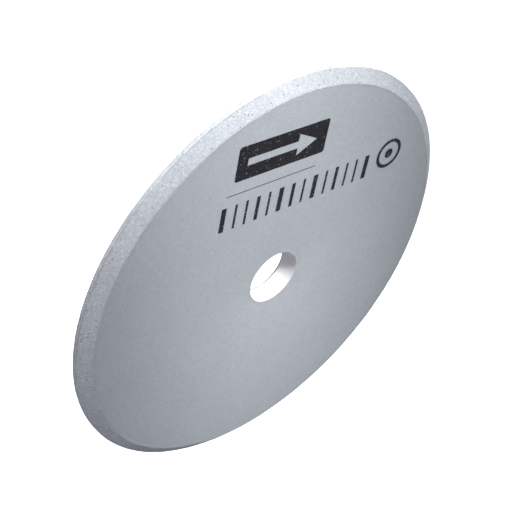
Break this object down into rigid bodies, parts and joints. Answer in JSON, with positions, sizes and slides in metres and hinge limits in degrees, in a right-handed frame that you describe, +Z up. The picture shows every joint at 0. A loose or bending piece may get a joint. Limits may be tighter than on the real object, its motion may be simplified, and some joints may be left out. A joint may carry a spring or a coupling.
{
  "type": "grinding wheel",
  "caption": "Flat round grinding wheel: a plain core disc, a lined centre bore and a segmented abrasive rim, bevelled on both sides down to a narrow land.",
  "frame": {"origin": "centre of the bore, half way through the wheel's thickness", "axes": "+Y along the spin axis, out of the plain back face, so the marked front face looks along -Y; +Z up and +X to the right of the marks"},
  "size_m": [0.25, 0.012, 0.25],
  "materials": {
    "core": "light blue-grey vitrified ceramic, ground flat, fine open pores, matte",
    "abrasive": "light grey vitrified diamond abrasive, coarse grain and open pores, rough, with small bright grit specks",
    "glue": "grey filled epoxy, cut back flush, matte",
    "bush": "pale grey cast lining, bored smooth, satin",
    "ink": "black printing ink on the front face, a thin matte film with the pores of the face showing through"
  },
  "bodies": {
    "root": {"core_disc": "core", "bore_bush": "bush", "bush_glue": "glue", "rim_glue": "glue", "rim_segment_01": "abrasive", "rim_segment_02": "abrasive", "rim_segment_03": "abrasive", "rim_segment_04": "abrasive", "rim_segment_05": "abrasive", "rim_segment_06": "abrasive", "rim_segment_07": "abrasive", "rim_segment_08": "abrasive", "rim_segment_09": "abrasive", "rim_segment_10": "abrasive", "rim_segment_11": "abrasive", "rim_segment_12": "abrasive", "rim_segment_13": "abrasive", "rim_segment_14": "abrasive", "rim_segment_15": "abrasive", "rim_segment_16": "abrasive", "rim_segment_17": "abrasive", "rim_segment_18": "abrasive", "rim_segment_19": "abrasive", "rim_segment_20": "abrasive", "rim_segment_21": "abrasive", "rim_segment_22": "abrasive", "rim_segment_23": "abrasive", "rim_segment_24": "abrasive"}
  },
  "joints": []
}
